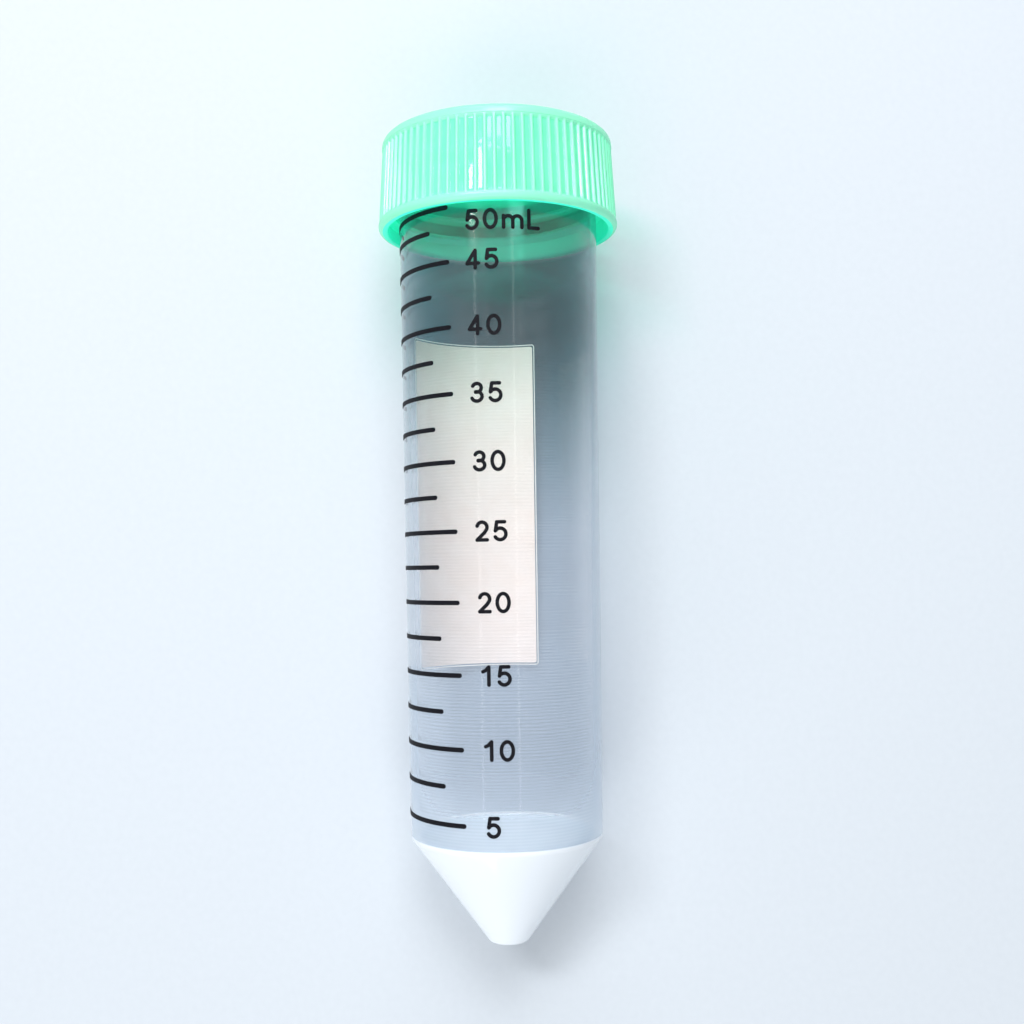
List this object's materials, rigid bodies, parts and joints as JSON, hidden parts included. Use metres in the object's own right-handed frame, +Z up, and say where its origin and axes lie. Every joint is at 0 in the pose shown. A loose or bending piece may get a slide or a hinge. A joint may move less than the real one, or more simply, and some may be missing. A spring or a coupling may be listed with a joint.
{
  "type": "conical centrifuge tube",
  "caption": "Lying translucent screw-cap tube with a conical bottom, a printed volume scale and a writing patch, for holding, spinning and storing liquid samples.",
  "frame": {"origin": "on the ground under the middle of the lying tube", "axes": "+Z up, +Y along the tube towards the cap, +X to the right when the cap points away"},
  "size_m": [0.0348, 0.1158, 0.0347],
  "materials": {
    "tube_plastic": "translucent natural polypropylene with fine turning rings",
    "cap_plastic": "glossy mint green",
    "scale_ink": "printed",
    "patch_ink": "printed"
  },
  "bodies": {
    "tube_body": {"tube": "tube_plastic", "graduation_marks": "scale_ink", "writing_patch": "patch_ink"},
    "cap_body": {"cap": "cap_plastic"}
  },
  "joints": [
    {"name": "cap_lift", "type": "slide", "parent": "tube_body", "child": "cap_body", "axis": [0, 0.9991, 0.0422], "range_m": [0, 0.025]}
  ]
}
